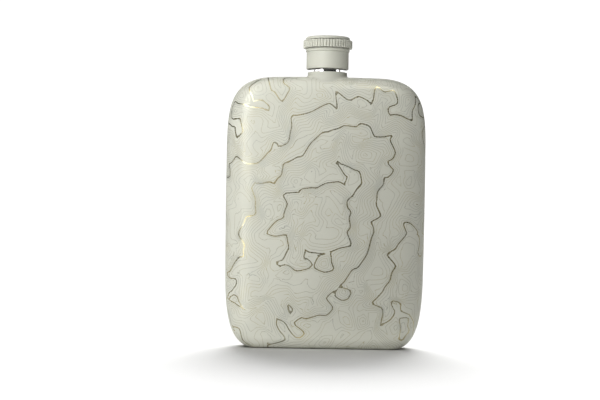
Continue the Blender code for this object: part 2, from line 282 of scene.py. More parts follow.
def raster(flat, values, tris):
    """Grids of values over the map, linear inside each triangle of flat points."""
    grids = np.zeros((values.shape[1], NZ, NX))
    for a, b, c in tris:
        p, h = flat[[a, b, c]], values[[a, b, c]]
        area = (p[1, 1] - p[2, 1]) * (p[0, 0] - p[2, 0]) + (p[2, 0] - p[1, 0]) * (p[0, 1] - p[2, 1])
        if abs(area) < 1e-9:
            continue
        low = np.maximum(np.ceil((p.min(0) - [MAP_X0, MAP_Z0]) / CELL - 1e-6).astype(int), 0)
        high = np.minimum(np.floor((p.max(0) - [MAP_X0, MAP_Z0]) / CELL + 1e-6).astype(int), [NX - 1, NZ - 1])
        if (high < low).any():
            continue
        gx = MAP_X0 + CELL * np.arange(low[0], high[0] + 1)[None, :]
        gz = MAP_Z0 + CELL * np.arange(low[1], high[1] + 1)[:, None]
        l0 = ((p[1, 1] - p[2, 1]) * (gx - p[2, 0]) + (p[2, 0] - p[1, 0]) * (gz - p[2, 1])) / area
        l1 = ((p[2, 1] - p[0, 1]) * (gx - p[2, 0]) + (p[0, 0] - p[2, 0]) * (gz - p[2, 1])) / area
        l2 = 1.0 - l0 - l1
        inside = (l0 >= -1e-6) & (l1 >= -1e-6) & (l2 >= -1e-6)
        for k, grid in enumerate(grids):
            view = grid[low[1] : high[1] + 1, low[0] : high[0] + 1]
            view[inside] = (l0 * h[0, k] + l1 * h[1, k] + l2 * h[2, k])[inside]
    return grids


def contour_field(seed, spacing, relief, hills, slope):
    """An invented terrain: a net of flat triangles over scattered heights, slightly smoothed."""
    rng = np.random.default_rng(seed)
    points = []
    for j in range(-2, int((MAP_Z1 - MAP_Z0) / spacing / 0.9) + 4):
        for i in range(-2, int((MAP_X1 - MAP_X0) / spacing) + 4):
            dx, dz = rng.uniform(-0.38, 0.38, 2) * spacing
            points.append(
                (MAP_X0 + spacing * (i + 0.5 * (j % 2)) + dx, MAP_Z0 + spacing * 0.9 * j + dz)
            )
    points = np.array(points)
    x, z = points[:, 0], points[:, 1]
    heights = slope * (60.0 - z)
    for cx, cz, ax, az, high in hills:
        heights = heights + high * np.exp(-(((x - cx) / ax) ** 2 + ((z - cz) / az) ** 2))
    heights = heights + rng.uniform(-1.0, 1.0, len(points)) * relief
    made = geometry.delaunay_2d_cdt([Vector(p) for p in points], [], [], 0, 1e-6)
    verts = np.array([tuple(v) for v in made[0]])
    origin = np.array([o[0] for o in made[3]])
    heights = heights[origin]
    grid = raster(verts, heights[:, None], made[2])[0]
    return blur(grid, 0.5 / CELL)


def sample(grid, x, z):
    fx = np.clip((x - MAP_X0) / CELL, 0, NX - 2)
    fz = np.clip((z - MAP_Z0) / CELL, 0, NZ - 2)
    xi, zi = fx.astype(int), fz.astype(int)
    tx, tz = fx - xi, fz - zi
    return (grid[zi, xi] * (1 - tx) + grid[zi, xi + 1] * tx) * (1 - tz) + (
        grid[zi + 1, xi] * (1 - tx) + grid[zi + 1, xi + 1] * tx
    ) * tz


HILLS = [(-6, 56, 30, 34, 25.5), (16, 88, 26, 22, 12.0), (-30, 100, 22, 26, -7.5),
         (34, 30, 20, 26, -9.0), (-34, 22, 18, 18, 6.0)]
FRONT_FIELD = contour_field(34, 5.0, 4.5, HILLS, 0.10)
BACK_FIELD = contour_field(35, 5.0, 4.5, HILLS, 0.09)


# ---- body shells ----------------------------------------------------------------------
def bezier(a, b, c, d, t):
    s = 1.0 - t
    return np.stack(
        [s**3 * p + 3 * s * s * t * q + 3 * s * t * t * r + t**3 * w for p, q, r, w in zip(a, b, c, d)],
        axis=1,
    )


def even_steps(curve, count):
    """Parameters that cut a curve into count equal lengths, without its end."""
    t = np.linspace(0.0, 1.0, 600)
    p = curve(t)
    length = np.concatenate([[0.0], np.cumsum(np.hypot(*np.diff(p, axis=0).T))])
    return np.interp(np.linspace(0.0, length[-1], count + 1)[:-1], length, t)


def low_corner(inset_side, inset_base, t):
    wide = HALF_WIDTH_LOW - inset_side
    low = inset_base - BASE_SINK
    shrink = 1.0 - inset_side / 30.0
    end = BASE_END_X - 0.35 * inset_side
    side_z = LOW_CORNER_Z - 0.25 * inset_side
    return bezier(
        (end, low),
        (end + LOW_HANDLE_BASE * shrink, low),
        (wide - LOW_HANDLE_LEAN, side_z - LOW_HANDLE_SIDE * shrink),
        (wide, side_z),
        t,
    )


def top_corner(inset_side, inset_top, t):
    wide = HALF_WIDTH - inset_side
    high_end = SHOULDER_END_Z - inset_top
    shrink = 1.0 - inset_side / 30.0
    end = SHOULDER_END_X - 0.15 * inset_side
    side_z = TOP_CORNER_Z + 0.1 * inset_side
    return bezier(
        (wide, side_z),
        (wide, side_z + TOP_HANDLE_SIDE * shrink),
        (end + TOP_HANDLE_SHOULDER * shrink, high_end - 0.1),
        (end, high_end),
        t,
    )


def steps_for(base, low, side, top, shoulder):
    return (
        np.arange(base) / base,
        even_steps(lambda t: low_corner(0.0, 0.0, t), low),
        np.arange(side) / side,
        even_steps(lambda t: top_corner(0.0, 0.0, t), top),
        np.arange(shoulder + 1) / shoulder,
    )


def full_outline(inset_side, inset_top, inset_base, steps):
    """Closed outline as points and base, side and top weights, anticlockwise from the base's middle."""
    base_t, low_t, side_t, top_t, shoulder_t = steps
    wide = HALF_WIDTH - inset_side
    low_wide = HALF_WIDTH_LOW - inset_side
    low = inset_base - BASE_SINK
    high = SHOULDER_Z - inset_top
    high_end = SHOULDER_END_Z - inset_top
    base_end = BASE_END_X - 0.35 * inset_side
    shoulder_end = SHOULDER_END_X - 0.15 * inset_side
    low_side_z = LOW_CORNER_Z - 0.25 * inset_side
    top_side_z = TOP_CORNER_Z + 0.1 * inset_side
    zero = np.zeros_like
    parts, weights = [], []
    parts.append(np.stack([base_end * base_t, np.full_like(base_t, low)], 1))
    weights.append(np.stack([zero(base_t) + 1, zero(base_t), zero(base_t)], 1))
    parts.append(low_corner(inset_side, inset_base, low_t))
    w = low_t * low_t * (3 - 2 * low_t)
    weights.append(np.stack([1 - w, w, zero(w)], 1))
    bulge = 4 * side_t * (1 - side_t) * 0.12
    parts.append(
        np.stack(
            [low_wide + (wide - low_wide) * side_t + bulge,
             low_side_z + (top_side_z - low_side_z) * side_t],
            1,
        )
    )
    weights.append(np.stack([zero(side_t), zero(side_t) + 1, zero(side_t)], 1))
    parts.append(top_corner(inset_side, inset_top, top_t))
    w = top_t * top_t * (3 - 2 * top_t)
    weights.append(np.stack([zero(w), 1 - w, w], 1))
    rest = 1.0 - shoulder_t
    parts.append(np.stack([shoulder_end * rest, high - (high - high_end) * rest**2], 1))
    weights.append(np.stack([zero(rest), zero(rest), zero(rest) + 1], 1))
    points, weights = np.concatenate(parts), np.concatenate(weights)
    left = points[-2:0:-1] * [-1.0, 1.0]
    return np.concatenate([points, left]), np.concatenate([weights, weights[-2:0:-1]])


def skin(wall, steps, rounding, facing):
    """Grid of one half's skin: (rings, around, 3) with y as depth, and each point's map place."""
    outer, weights = full_outline(wall, wall, wall + (BASE_SINK if wall else 0.0), steps)
    inner, _ = full_outline(SIDE_ROUND, TOP_ROUND, BASE_ROUND, steps)
    depth = HALF_DEPTH - wall
    power = 2.0 / (weights @ POWERS)
    out = outer - inner
    reach = np.hypot(*out.T)
    outward = out / reach[:, None]
    u = np.linspace(0.0, 1.0, 500)
    angle = 0.5 * math.pi * (0.5 - 0.5 * np.cos(math.pi * u))
    cos, sin = np.cos(angle), np.sin(angle)
    cos[-1], sin[0] = 0.0, 0.0
    along = cos[:, None] ** power[None, :]
    rise = sin[:, None] ** power[None, :]
    part = 0.3 * (1.0 - along)
    y = rise * depth + CROWN * (1.0 - (1.0 - part) ** 2)
    q = along * reach[None, :]
    length = np.concatenate(
        [np.zeros((1, len(power))), np.cumsum(np.hypot(np.diff(q, axis=0), np.diff(y, axis=0)), axis=0)]
    )
    grid = np.zeros((rounding + 1 + facing, len(power), 3))
    place = np.zeros((rounding + 1 + facing, len(power), 2))
    edge = np.zeros((rounding + 1 + facing, len(power)))    # distance along the skin from the seam
    for j in range(len(power)):
        at = np.linspace(0.0, length[-1, j], rounding + 1)
        qj = np.interp(at, length[:, j], q[:, j])
        yj = np.interp(at, length[:, j], y[:, j])
        grid[: rounding + 1, j, 0] = inner[j, 0] + outward[j, 0] * qj
        grid[: rounding + 1, j, 2] = inner[j, 1] + outward[j, 1] * qj
        grid[: rounding + 1, j, 1] = yj
        span = length[-1, j] - at
        place[: rounding + 1, j, 0] = inner[j, 0] + outward[j, 0] * span
        place[: rounding + 1, j, 1] = inner[j, 1] + outward[j, 1] * span
        edge[: rounding + 1, j] = at
    middle = np.stack([np.zeros(len(inner)), 60.0 + 0.42 * (inner[:, 1] - 60.0)], 1)
    for i in range(1, facing + 1):
        t = i / facing
        part = 0.3 + 0.7 * t
        spot = inner + (middle - inner) * t
        grid[rounding + i, :, 0] = spot[:, 0]
        grid[rounding + i, :, 2] = spot[:, 1]
        grid[rounding + i, :, 1] = depth + CROWN * (1.0 - (1.0 - part) ** 2)
        place[rounding + i] = spot
        edge[rounding + i] = length[-1] + np.hypot(*(spot - inner).T)
    if not wall:
        for _ in range(6):      # eases the slope where the rounding meets the face
            y = grid[:, :, 1]
            y[3:-1] = 0.25 * y[2:-2] + 0.5 * y[3:-1] + 0.25 * y[4:]
        z = grid[:, :, 2]
        grid[:, :, 2] = 0.5 * (z + np.sqrt(z * z + 0.15**2))
    else:
        grid[:, :, 2] = np.maximum(grid[:, :, 2], wall)
    return grid, place, edge


def grid_triangles(rows, count):
    """Triangles of a closed grid whose last ring folds flat onto the spine."""
    ids = np.arange(rows * count).reshape(rows, count)
    half = count // 2
    last = ids[-1].copy()
    last[half + 1 :] = last[1:half][::-1]       # left and right meet on the spine
    ids[-1] = last
    a, b = ids[:-1], ids[1:]
    a2, b2 = np.roll(a, -1, 1), np.roll(b, -1, 1)
    one = np.stack([a, a2, b2], -1).reshape(-1, 3)
    two = np.stack([a, b2, b], -1).reshape(-1, 3)
    tris = np.concatenate([one, two])
    good = (tris[:, 0] != tris[:, 1]) & (tris[:, 1] != tris[:, 2]) & (tris[:, 0] != tris[:, 2])
    return tris[good]


def vertex_normals(points, tris):
    e1 = points[tris[:, 1]] - points[tris[:, 0]]
    e2 = points[tris[:, 2]] - points[tris[:, 0]]
    face = np.cross(e1, e2)
    normals = np.zeros_like(points)
    for k in range(3):
        np.add.at(normals, tris[:, k], face)
    return normals / np.maximum(np.linalg.norm(normals, axis=1), 1e-12)[:, None]


def cut(data, tris, value, snap):
    """Splits the triangles that value's zero line crosses. data's columns are interpolated."""
    sign = np.sign(value).astype(int)
    sign[np.abs(value) < snap] = 0
    corner = sign[tris]
    crossed = (corner.min(1) < 0) & (corner.max(1) > 0)
    if not crossed.any():
        return data, tris
    kept, work, corner = tris[~crossed], tris[crossed], corner[crossed]
    through = (corner == 0).any(1)
    first = np.where(through, np.argmax(corner == 0, 1), 0)
    lone = -corner.sum(1)
    first = np.where(through, first, np.argmax(corner == lone[:, None], 1))
    rows = np.arange(len(work))
    a = work[rows, first]
    b = work[rows, (first + 1) % 3]
    c = work[rows, (first + 2) % 3]
    # edges that get a new point: (b, c) where the line runs through a, otherwise (a, b) and (a, c)
    pairs = np.concatenate(
        [np.stack([b, c], 1)[through], np.stack([a, b], 1)[~through], np.stack([a, c], 1)[~through]]
    )
    low, high = pairs.min(1), pairs.max(1)
    keys, where, back = np.unique(low * len(data) + high, return_index=True, return_inverse=True)
    low, high = low[where], high[where]
    t = (value[low] / (value[low] - value[high]))[:, None]
    made = data[low] * (1 - t) + data[high] * t
    ids = back.reshape(-1) + len(data)
    n = int(through.sum())
    m = len(work) - n
    mid, p, q = ids[:n], ids[n : n + m], ids[n + m :]
    at, bt, ct = a[through], b[through], c[through]
    an, bn, cn = a[~through], b[~through], c[~through]
    tris = np.concatenate(
        [
            kept,
            np.stack([at, bt, mid], 1),
            np.stack([at, mid, ct], 1),
            np.stack([an, p, q], 1),
            np.stack([p, bn, cn], 1),
            np.stack([p, cn, q], 1),
        ]
    )
    return np.concatenate([data, made]), tris


def climb(points, height, tris):
    """How fast the height rises in each triangle, and twice the triangle's area."""
    e1 = points[tris[:, 1]] - points[tris[:, 0]]
    e2 = points[tris[:, 2]] - points[tris[:, 0]]
    h1 = height[tris[:, 1]] - height[tris[:, 0]]
    h2 = height[tris[:, 2]] - height[tris[:, 0]]
    g11, g12, g22 = (e1 * e1).sum(1), (e1 * e2).sum(1), (e2 * e2).sum(1)
    det = g11 * g22 - g12 * g12
    squared = (g22 * h1 * h1 - 2 * g12 * h1 * h2 + g11 * h2 * h2) / np.maximum(det, 1e-9)
    return np.sqrt(np.maximum(squared, 0.0)), np.sqrt(np.maximum(det, 0.0))


def neck_hole(data, tris):
    """Opens the shoulder round the axis."""
    radius = np.hypot(data[:, 0], data[:, 1]) - HOLE_R
    value = np.where(data[:, 2] > 110.0, radius, 5.0)
    data = np.column_stack([data, value])
    value = np.where(np.abs(value) < 1e-3, 0.0, value)
    data[:, -1] = value
    data, tris = cut(data, tris, value, 1e-6)
    return data[:, :-1], tris[data[:, -1][tris].mean(1) > 0.0]


def border_loop(points, tris):
    """The one closed border of a skin, as point numbers in order."""
    edges = np.concatenate([tris[:, [0, 1]], tris[:, [1, 2]], tris[:, [2, 0]]])
    keys = np.minimum(edges[:, 0], edges[:, 1]) * len(points) + np.maximum(edges[:, 0], edges[:, 1])
    _, where, counts = np.unique(keys, return_index=True, return_counts=True)
    follow = {int(a): int(b) for a, b in edges[where[counts == 1]]}
    start = min(follow, key=lambda v: (round(points[v][2], 3), abs(points[v][0])))
    loop, at = [start], follow[start]
    while at != start:
        loop.append(at)
        at = follow[at]
        if len(loop) > len(follow):
            raise RuntimeError("a skin's border is not one loop")
    return loop


def zip_loops(points, one, two):
    """Triangles between two closed loops that run the same way and start side by side."""
    tris = []
    i = j = 0
    n, m = len(one), len(two)
    while i < n or j < m:
        a, b = one[i % n], two[j % m]
        a2, b2 = one[(i + 1) % n], two[(j + 1) % m]
        step_one = np.linalg.norm(points[a2] - points[b]) if i < n else 1e9
        step_two = np.linalg.norm(points[a] - points[b2]) if j < m else 1e9
        if step_one <= step_two:
            tris.append((a, b, a2))
            i += 1
        else:
            tris.append((a, b, b2))
            j += 1
    return np.array(tris)


def engraved_shell(name, side):
    """One half of the body: a painted skin with its engraving cut in, and a steel lining."""
    steps = steps_for(24, 36, 48, 42, 22)
    rounding, facing = 17, 16
    grid, place, edge = skin(0.0, steps, rounding, facing)
    rows, count = grid.shape[:2]
    # the face is filled with even triangles, at the depth that the rings give
    rings = grid_triangles(rows - rounding + 2, count)
    reference = grid[rounding - 2 :].reshape(-1, 3)
    depths = raster(reference[:, [0, 2]], reference[:, 1:2], rings)[0]
    border = grid[rounding][:, [0, 2]]
    pitch = 1.4
    spots = []
    for j in range(int(125.0 / (0.866 * pitch))):
        for i in range(-36, 37):
            spots.append((pitch * (i + 0.5 * (j % 2)), 2.0 + 0.866 * pitch * j))
    spots = np.array(spots)
    ahead = np.roll(border, -1, 0)
    crossing = (border[None, :, 1] > spots[:, None, 1]) != (ahead[None, :, 1] > spots[:, None, 1])
    lift = np.where(ahead[:, 1] == border[:, 1], 1.0, ahead[:, 1] - border[:, 1])
    at = border[None, :, 0] + (spots[:, None, 1] - border[None, :, 1]) / lift[None, :] * (ahead - border)[None, :, 0]
    inside = (crossing & (spots[:, None, 0] < at)).sum(1) % 2 == 1
    spots = spots[inside]
    gap = np.hypot(spots[:, None, 0] - border[None, :, 0], spots[:, None, 1] - border[None, :, 1]).min(1)
    spots = spots[gap > 0.62 * pitch]
    flat = np.concatenate([border, spots])
    made = geometry.delaunay_2d_cdt(
        [Vector(p) for p in flat], [(i, (i + 1) % count) for i in range(count)], [], 1, 1e-6
    )
    origin = np.array([o[0] for o in made[3]])
    face_tris = origin[np.array([list(f) for f in made[2]])]
    first = rounding * count
    face_tris = face_tris + first       # the border's points are the last ring's
    face_points = np.column_stack([spots[:, 0], sample(depths, spots[:, 0], spots[:, 1]), spots[:, 1]])
    points = np.concatenate([grid[: rounding + 1].reshape(-1, 3), face_points]) * [1.0, side, 1.0]
    ids = np.arange((rounding + 1) * count).reshape(rounding + 1, count)
    low, high = ids[:-1], ids[1:]
    low2, high2 = np.roll(low, -1, 1), np.roll(high, -1, 1)
    tris = np.concatenate(
        [np.stack([low, low2, high2], -1).reshape(-1, 3), np.stack([low, high2, high], -1).reshape(-1, 3)]
    )

    def outwards(tris):
        e1 = points[tris[:, 1]] - points[tris[:, 0]]
        e2 = points[tris[:, 2]] - points[tris[:, 0]]
        return tris[:, ::-1] if np.cross(e1, e2)[:, 1].sum() * side < 0 else tris

    tris = np.concatenate([outwards(tris), outwards(face_tris)])
    normals = vertex_normals(points, tris)
    rim = np.arange(count)
    normals[rim, 1] = 0.0
    normals[rim] /= np.linalg.norm(normals[rim], axis=1)[:, None]
    # height of the terrain at each point. The front's map runs on over the edge to the back.
    round_place = place[: rounding + 1].reshape(-1, 2)
    map_place = np.concatenate([round_place, spots])
    if side < 0:
        height = sample(FRONT_FIELD, map_place[:, 0], map_place[:, 1])
    else:
        height = sample(BACK_FIELD, -map_place[:, 0], map_place[:, 1])
        outward = place[0] - place[rounding]
        outward /= np.linalg.norm(outward, axis=1)[:, None]
        over = (place[:1] + outward[None] * edge[: rounding + 1, :, None]).reshape(-1, 2)
        mix = (edge[: rounding + 1] / edge[rounding]).reshape(-1)
        mix = mix * mix * (3 - 2 * mix)
        near = sample(FRONT_FIELD, over[:, 0], over[:, 1])
        height[: len(near)] = (1 - mix) * near + mix * height[: len(near)]
    # how fast it rises along the skin, from the triangles themselves
    rate, area = climb(points, height, tris)
    total, weight = np.zeros(len(points)), np.zeros(len(points))
    for k in range(3):
        np.add.at(total, tris[:, k], rate * area)
        np.add.at(weight, tris[:, k], area)
    steep = np.clip(total / np.maximum(weight, 1e-9), 0.06, 2.6)

    data = np.column_stack([points, normals, height, steep])
    data, tris = neck_hole(data, tris)
    # every line's two borders, and for the broad ones the foot of each wall
    lowest, highest = data[:, 6].min(), data[:, 6].max()
    for level in range(math.floor(lowest), math.ceil(highest) + 1):
        if level % INDEX_EVERY == 0:
            offsets = [0.5 * INDEX_WIDTH, 0.5 * INDEX_WIDTH - INDEX_WALL]
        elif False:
            continue
        else:
            offsets = [0.5 * FINE_WIDTH]
        for offset in offsets:
            for sign in (-1.0, 1.0):
                value = data[:, 6] - level - sign * offset * data[:, 7]
                data, tris = cut(data, tris, value, 0.004 * data[:, 7])
    middle = data[tris].mean(1)
    nearest = np.round(middle[:, 6]).astype(int)
    away = np.abs(middle[:, 6] - nearest) / middle[:, 7]
    broad = nearest % INDEX_EVERY == 0
    floor = broad & (away < 0.5 * INDEX_WIDTH - INDEX_WALL)
    wall = broad & ~floor & (away < 0.5 * INDEX_WIDTH)
    fine = ~broad & (away < 0.5 * FINE_WIDTH)
    # ground that is nearly level would be etched as a blot, so it is left out
    fine &= climb(data[:, :3], data[:, 6], tris)[0] > 0.4 * middle[:, 7]
    kind = np.zeros(len(tris), int)
    kind[floor] = 1             # the wall is the cut edge of the paint
    kind[fine] = 2
    # sink the broad lines
    nearest = np.round(data[:, 6] / INDEX_EVERY) * INDEX_EVERY
    away = np.abs(data[:, 6] - nearest) / data[:, 7]
    sink = np.clip((0.5 * INDEX_WIDTH - away) / INDEX_WALL, 0.0, 1.0) * INDEX_DEPTH
    points = data[:, :3] - data[:, 3:6] * sink[:, None]
    normals = data[:, 3:6] / np.maximum(np.linalg.norm(data[:, 3:6], axis=1), 1e-12)[:, None]
    corner_normals = normals[tris]
    face = np.cross(points[tris[:, 1]] - points[tris[:, 0]], points[tris[:, 2]] - points[tris[:, 0]])
    face /= np.maximum(np.linalg.norm(face, axis=1), 1e-12)[:, None]
    corner_normals[wall] = face[wall][:, None, :]

    # the lining
    steps = steps_for(6, 10, 6, 10, 8)
    grid, _, _ = skin(WALL, steps, 7, 4)
    grid[0, :, 1] = 0.0
    inner = grid.reshape(-1, 3) * [1.0, side, 1.0]
    lining = grid_triangles(*grid.shape[:2])
    e1 = inner[lining[:, 1]] - inner[lining[:, 0]]
    e2 = inner[lining[:, 2]] - inner[lining[:, 0]]
    if np.cross(e1, e2)[:, 1].sum() * side > 0:
        lining = lining[:, ::-1]
    inner = np.column_stack([inner, vertex_normals(inner, lining)])
    inner, lining = neck_hole(inner, lining)
    lining_normals = inner[:, 3:6][lining]
    shift = len(points)
    points = np.concatenate([points, inner[:, :3]])
    lining = lining + shift

    # the rim between them
    one = border_loop(points, tris)
    two = border_loop(points, lining)[::-1]
    two = two[-1:] + two[:-1]
    rim = zip_loops(points, one, two)
    face = np.cross(points[rim[:, 1]] - points[rim[:, 0]], points[rim[:, 2]] - points[rim[:, 0]])
    face /= np.maximum(np.linalg.norm(face, axis=1), 1e-12)[:, None]
    if face[:, 1].sum() * side > 0:
        rim = rim[:, ::-1]
        face = -face
    rim_normals = np.repeat(face[:, None, :], 3, axis=1)

    all_tris = np.concatenate([tris, lining, rim])
    kinds = np.concatenate([kind, np.full(len(lining) + len(rim), 3)])
    all_normals = np.concatenate([corner_normals, lining_normals, rim_normals])
    used, renumbered = np.unique(all_tris, return_inverse=True)
    obj = mesh_object(
        name, points[used], renumbered.reshape(-1, 3), all_normals, kinds,
        [paint_body, etch_index, etch_fine, steel_inner],
    )
    print(name, "faces", len(all_tris), "of them engraved", int((kind > 0).sum()))
    return obj


def mesh_object(name, points, faces, corner_normals, kinds, materials):
    """points in millimetres, faces as an array of triangles or quads."""
    mesh = bpy.data.meshes.new(name)
    size = faces.shape[1]
    mesh.vertices.add(len(points))
    mesh.vertices.foreach_set("co", (points * MM).astype(np.float32).reshape(-1))
    mesh.loops.add(len(faces) * size)
    mesh.loops.foreach_set("vertex_index", faces.astype(np.int32).reshape(-1))
    mesh.polygons.add(len(faces))
    mesh.polygons.foreach_set("loop_start", (np.arange(len(faces)) * size).astype(np.int32))
    mesh.polygons.foreach_set("loop_total", np.full(len(faces), size, np.int32))
    for material in materials:
        mesh.materials.append(material)
    if kinds is not None:
        mesh.polygons.foreach_set("material_index", kinds.astype(np.int32))
    mesh.update(calc_edges=True)
    mesh.validate(clean_customdata=False)
    mesh.shade_smooth()
    if corner_normals is not None:
        if len(mesh.loops) == len(faces) * size:
            mesh.normals_split_custom_set(corner_normals.reshape(-1, 3).tolist())
        else:
            print(name, "lost faces in validation; normals not set", len(mesh.loops), len(faces) * size)
    obj = bpy.data.objects.new(name, mesh)
    bpy.context.scene.collection.objects.link(obj)
    return obj


# ---- turned pieces --------------------------------------------------------------------
def arc(cr, cz, radius, start, end, count):
    """Points round (cr, cz) from start to end in degrees; 0 is outwards, 90 is up."""
    return [
        (cr + radius * math.cos(math.radians(a)), cz + radius * math.sin(math.radians(a)))
        for a in np.linspace(start, end, count)
    ]


def turned(name, profile, steps, material, shape=None, sharp=40.0):
    """Turns a closed loop of (r, z) about the axis. shape moves the points of one row."""
    angles = 2 * math.pi * np.arange(steps) / steps
    bm = bmesh.new()
    rows = []
    for k, (r, z) in enumerate(profile):
        if r <= 0:
            pole = bm.verts.new((0.0, 0.0, z * MM))
            rows.append([pole] * steps)
            continue
        rr, zz = np.full(steps, float(r)), np.full(steps, float(z))
        if shape:
            rr, zz = shape(k, rr, zz, angles)
        rows.append(
            [bm.verts.new((a * math.cos(t) * MM, a * math.sin(t) * MM, b * MM)) for a, b, t in zip(rr, zz, angles)]
        )
    for low, high in zip(rows, rows[1:] + rows[:1]):
        for i in range(steps):
            j = (i + 1) % steps
            corners = []
            for vert in (low[i], low[j], high[j], high[i]):
                if vert not in corners:
                    corners.append(vert)
            if len(corners) > 2:
                bm.faces.new(corners)
    bmesh.ops.recalc_face_normals(bm, faces=bm.faces)
    mesh = bpy.data.meshes.new(name)
    bm.to_mesh(mesh)
    bm.free()
    mesh.shade_smooth()
    mesh.set_sharp_from_angle(angle=math.radians(sharp))
    mesh.materials.append(material)
    obj = bpy.data.objects.new(name, mesh)
    bpy.context.scene.collection.objects.link(obj)
    return obj


def shoulder_height(x, y):
    drop = (SHOULDER_Z - SHOULDER_END_Z) * (x / SHOULDER_END_X) ** 2
    across = np.minimum(np.abs(y) / HALF_DEPTH, 0.999)
    along = (1.0 - across ** POWERS[2]) ** (1.0 / POWERS[2])
    return SHOULDER_Z - drop - TOP_ROUND * (1.0 - along)


def collar():
    """The collar and its weld, which runs out into the shoulder in a smooth hollow."""
    sweep = 14
    angles_of = lambda steps: 2 * math.pi * np.arange(steps) / steps
    profile = [(HOLE_R, COLLAR_TOP_Z - 0.12), (HOLE_R, 0.0)]
    profile += [(COLLAR_R, float(k)) for k in range(sweep + 1)]
    profile += [(COLLAR_R, COLLAR_TOP_Z - 0.3)]
    profile += arc(COLLAR_R - 0.22, COLLAR_TOP_Z - 0.22, 0.22, 15, 90, 5)
    profile += [(HOLE_R + 0.12, COLLAR_TOP_Z)]

    def shape(k, r, z, angle):
        if k == 1:
            return r, shoulder_height(r * np.cos(angle), r * np.sin(angle)) - 0.35
        if 2 <= k <= 2 + sweep:
            t = (k - 2) / sweep
            side = np.abs(np.cos(angle))
            foot = COLLAR_R + 0.75 + 0.35 * side**1.5
            at_foot = shoulder_height(foot * np.cos(angle), foot * np.sin(angle)) - 0.015
            inner = foot - 0.25
            before = shoulder_height(inner * np.cos(angle), inner * np.sin(angle)) - 0.015
            slope = (before - at_foot) / 0.25
            base = shoulder_height(COLLAR_R * np.cos(angle), COLLAR_R * np.sin(angle))
            top = np.minimum(base + 1.75 - 0.75 * side**1.5, COLLAR_TOP_Z - 0.45)
            reach = foot - COLLAR_R
            # a curve that leaves the shoulder along its slope and meets the wall upright
            r0, z0 = foot, at_foot
            r1, z1 = foot - 0.62 * reach, at_foot + 0.62 * reach * slope
            r3, z3 = np.full_like(foot, COLLAR_R), top
            r2, z2 = r3, np.maximum(top - 0.62 * (top - base), z1 * 0.5 + top * 0.5)
            s = 1.0 - t
            rr = s**3 * r0 + 3 * s * s * t * r1 + 3 * s * t * t * r2 + t**3 * r3
            zz = s**3 * z0 + 3 * s * s * t * z1 + 3 * s * t * t * z2 + t**3 * z3
            return rr, zz
        return r, z

    return turned("collar_with_weld", profile, 144, paint_body, shape, 50.0)


def neck_tube():
    """The neck as one turned skin, with its thread raised out of the core."""
    levels = np.linspace(SHANK_TOP_Z + 0.35, LIP_Z - 0.25, 84)
    profile = [(NECK_BORE_R, NECK_FOOT_Z), (SHANK_R, NECK_FOOT_Z)]
    profile += [(SHANK_R, z) for z in (119.0, 121.0, 122.2, 122.9, 123.3)]
    profile += arc(SHANK_R - 0.2, SHANK_TOP_Z - 0.2, 0.2, 15, 90, 5)
    profile += arc(NECK_CORE_R + 0.2, SHANK_TOP_Z + 0.2, 0.2, 270, 190, 4)
    first = len(profile)
    profile += [(NECK_CORE_R, z) for z in levels]
    last = len(profile)
    profile += arc(NECK_CORE_R - 0.22, LIP_Z - 0.22, 0.22, 10, 90, 5)
    profile += arc(NECK_BORE_R + 0.22, LIP_Z - 0.22, 0.22, 95, 175, 5)

    def shape(k, r, z, angle):
        if not first <= k < last:
            return r, z
        ridge = np.zeros_like(r)
        for turn in range(5):
            done = angle / (2 * math.pi) + turn
            centre = THREAD_START_Z + PITCH * done
            fade = np.clip(np.minimum(done, THREAD_TURNS - done) / 0.25, 0.0, 1.0)
            flank = np.clip((0.48 - np.abs(z - centre)) / 0.26, 0.0, 1.0)
            flank = flank * flank * (3 - 2 * flank)
            ridge = np.maximum(ridge, fade * flank)
        return r + ridge * (THREAD_CREST_R - NECK_CORE_R), z

    return turned("neck_tube", profile, 144, steel_neck, shape, 60.0)


def cap_barrel():
    profile = arc(BARREL_BORE_R + 0.14, CAP_FOOT_Z + 0.14, 0.14, 180, 270, 4)
    profile += arc(BARREL_R - 0.34, CAP_FOOT_Z + 0.34, 0.34, 270, 360, 8)
    profile += [(BARREL_R, z) for z in (125.2, 126.4, 127.6, 128.8, 130.0, 130.9, 131.3)]
    profile += [(BARREL_R - 0.10, 131.52), (BARREL_R - 0.10, 131.66)]
    profile += arc(BEAD_R - 0.20, BEAD_Z + 0.22, 0.20, 280, 360, 5)
    profile += [(BEAD_R, 132.2), (BEAD_R, 132.5)]
    profile += arc(BEAD_R - 0.22, BEAD_END_Z - 0.24, 0.22, 10, 90, 5)
    profile += [(HUB_R, BEAD_END_Z), (HUB_R, HUB_TOP_Z), (0, HUB_TOP_Z), (0, ROOF_Z), (BARREL_BORE_R, ROOF_Z)]
    return turned("cap_barrel", profile, 160, paint_cap, None, 38.0)


def rib_wave(angle):
    """1 on a rib's crest and 0 in the groove, with a rounded crest and a narrower groove."""
    turn = (angle * RIBS / (2 * math.pi)) % 1.0
    d = np.abs(turn - 0.5) * 2.0            # 0 in the middle of a rib, 1 in the middle of a groove
    inside = np.clip((d - 0.54) / 0.28, 0.0, 1.0)
    crest = 1.0 - 0.10 * np.clip(d / 0.54, 0.0, 1.0) ** 2
    return crest * (1.0 - inside * inside * (3 - 2 * inside))


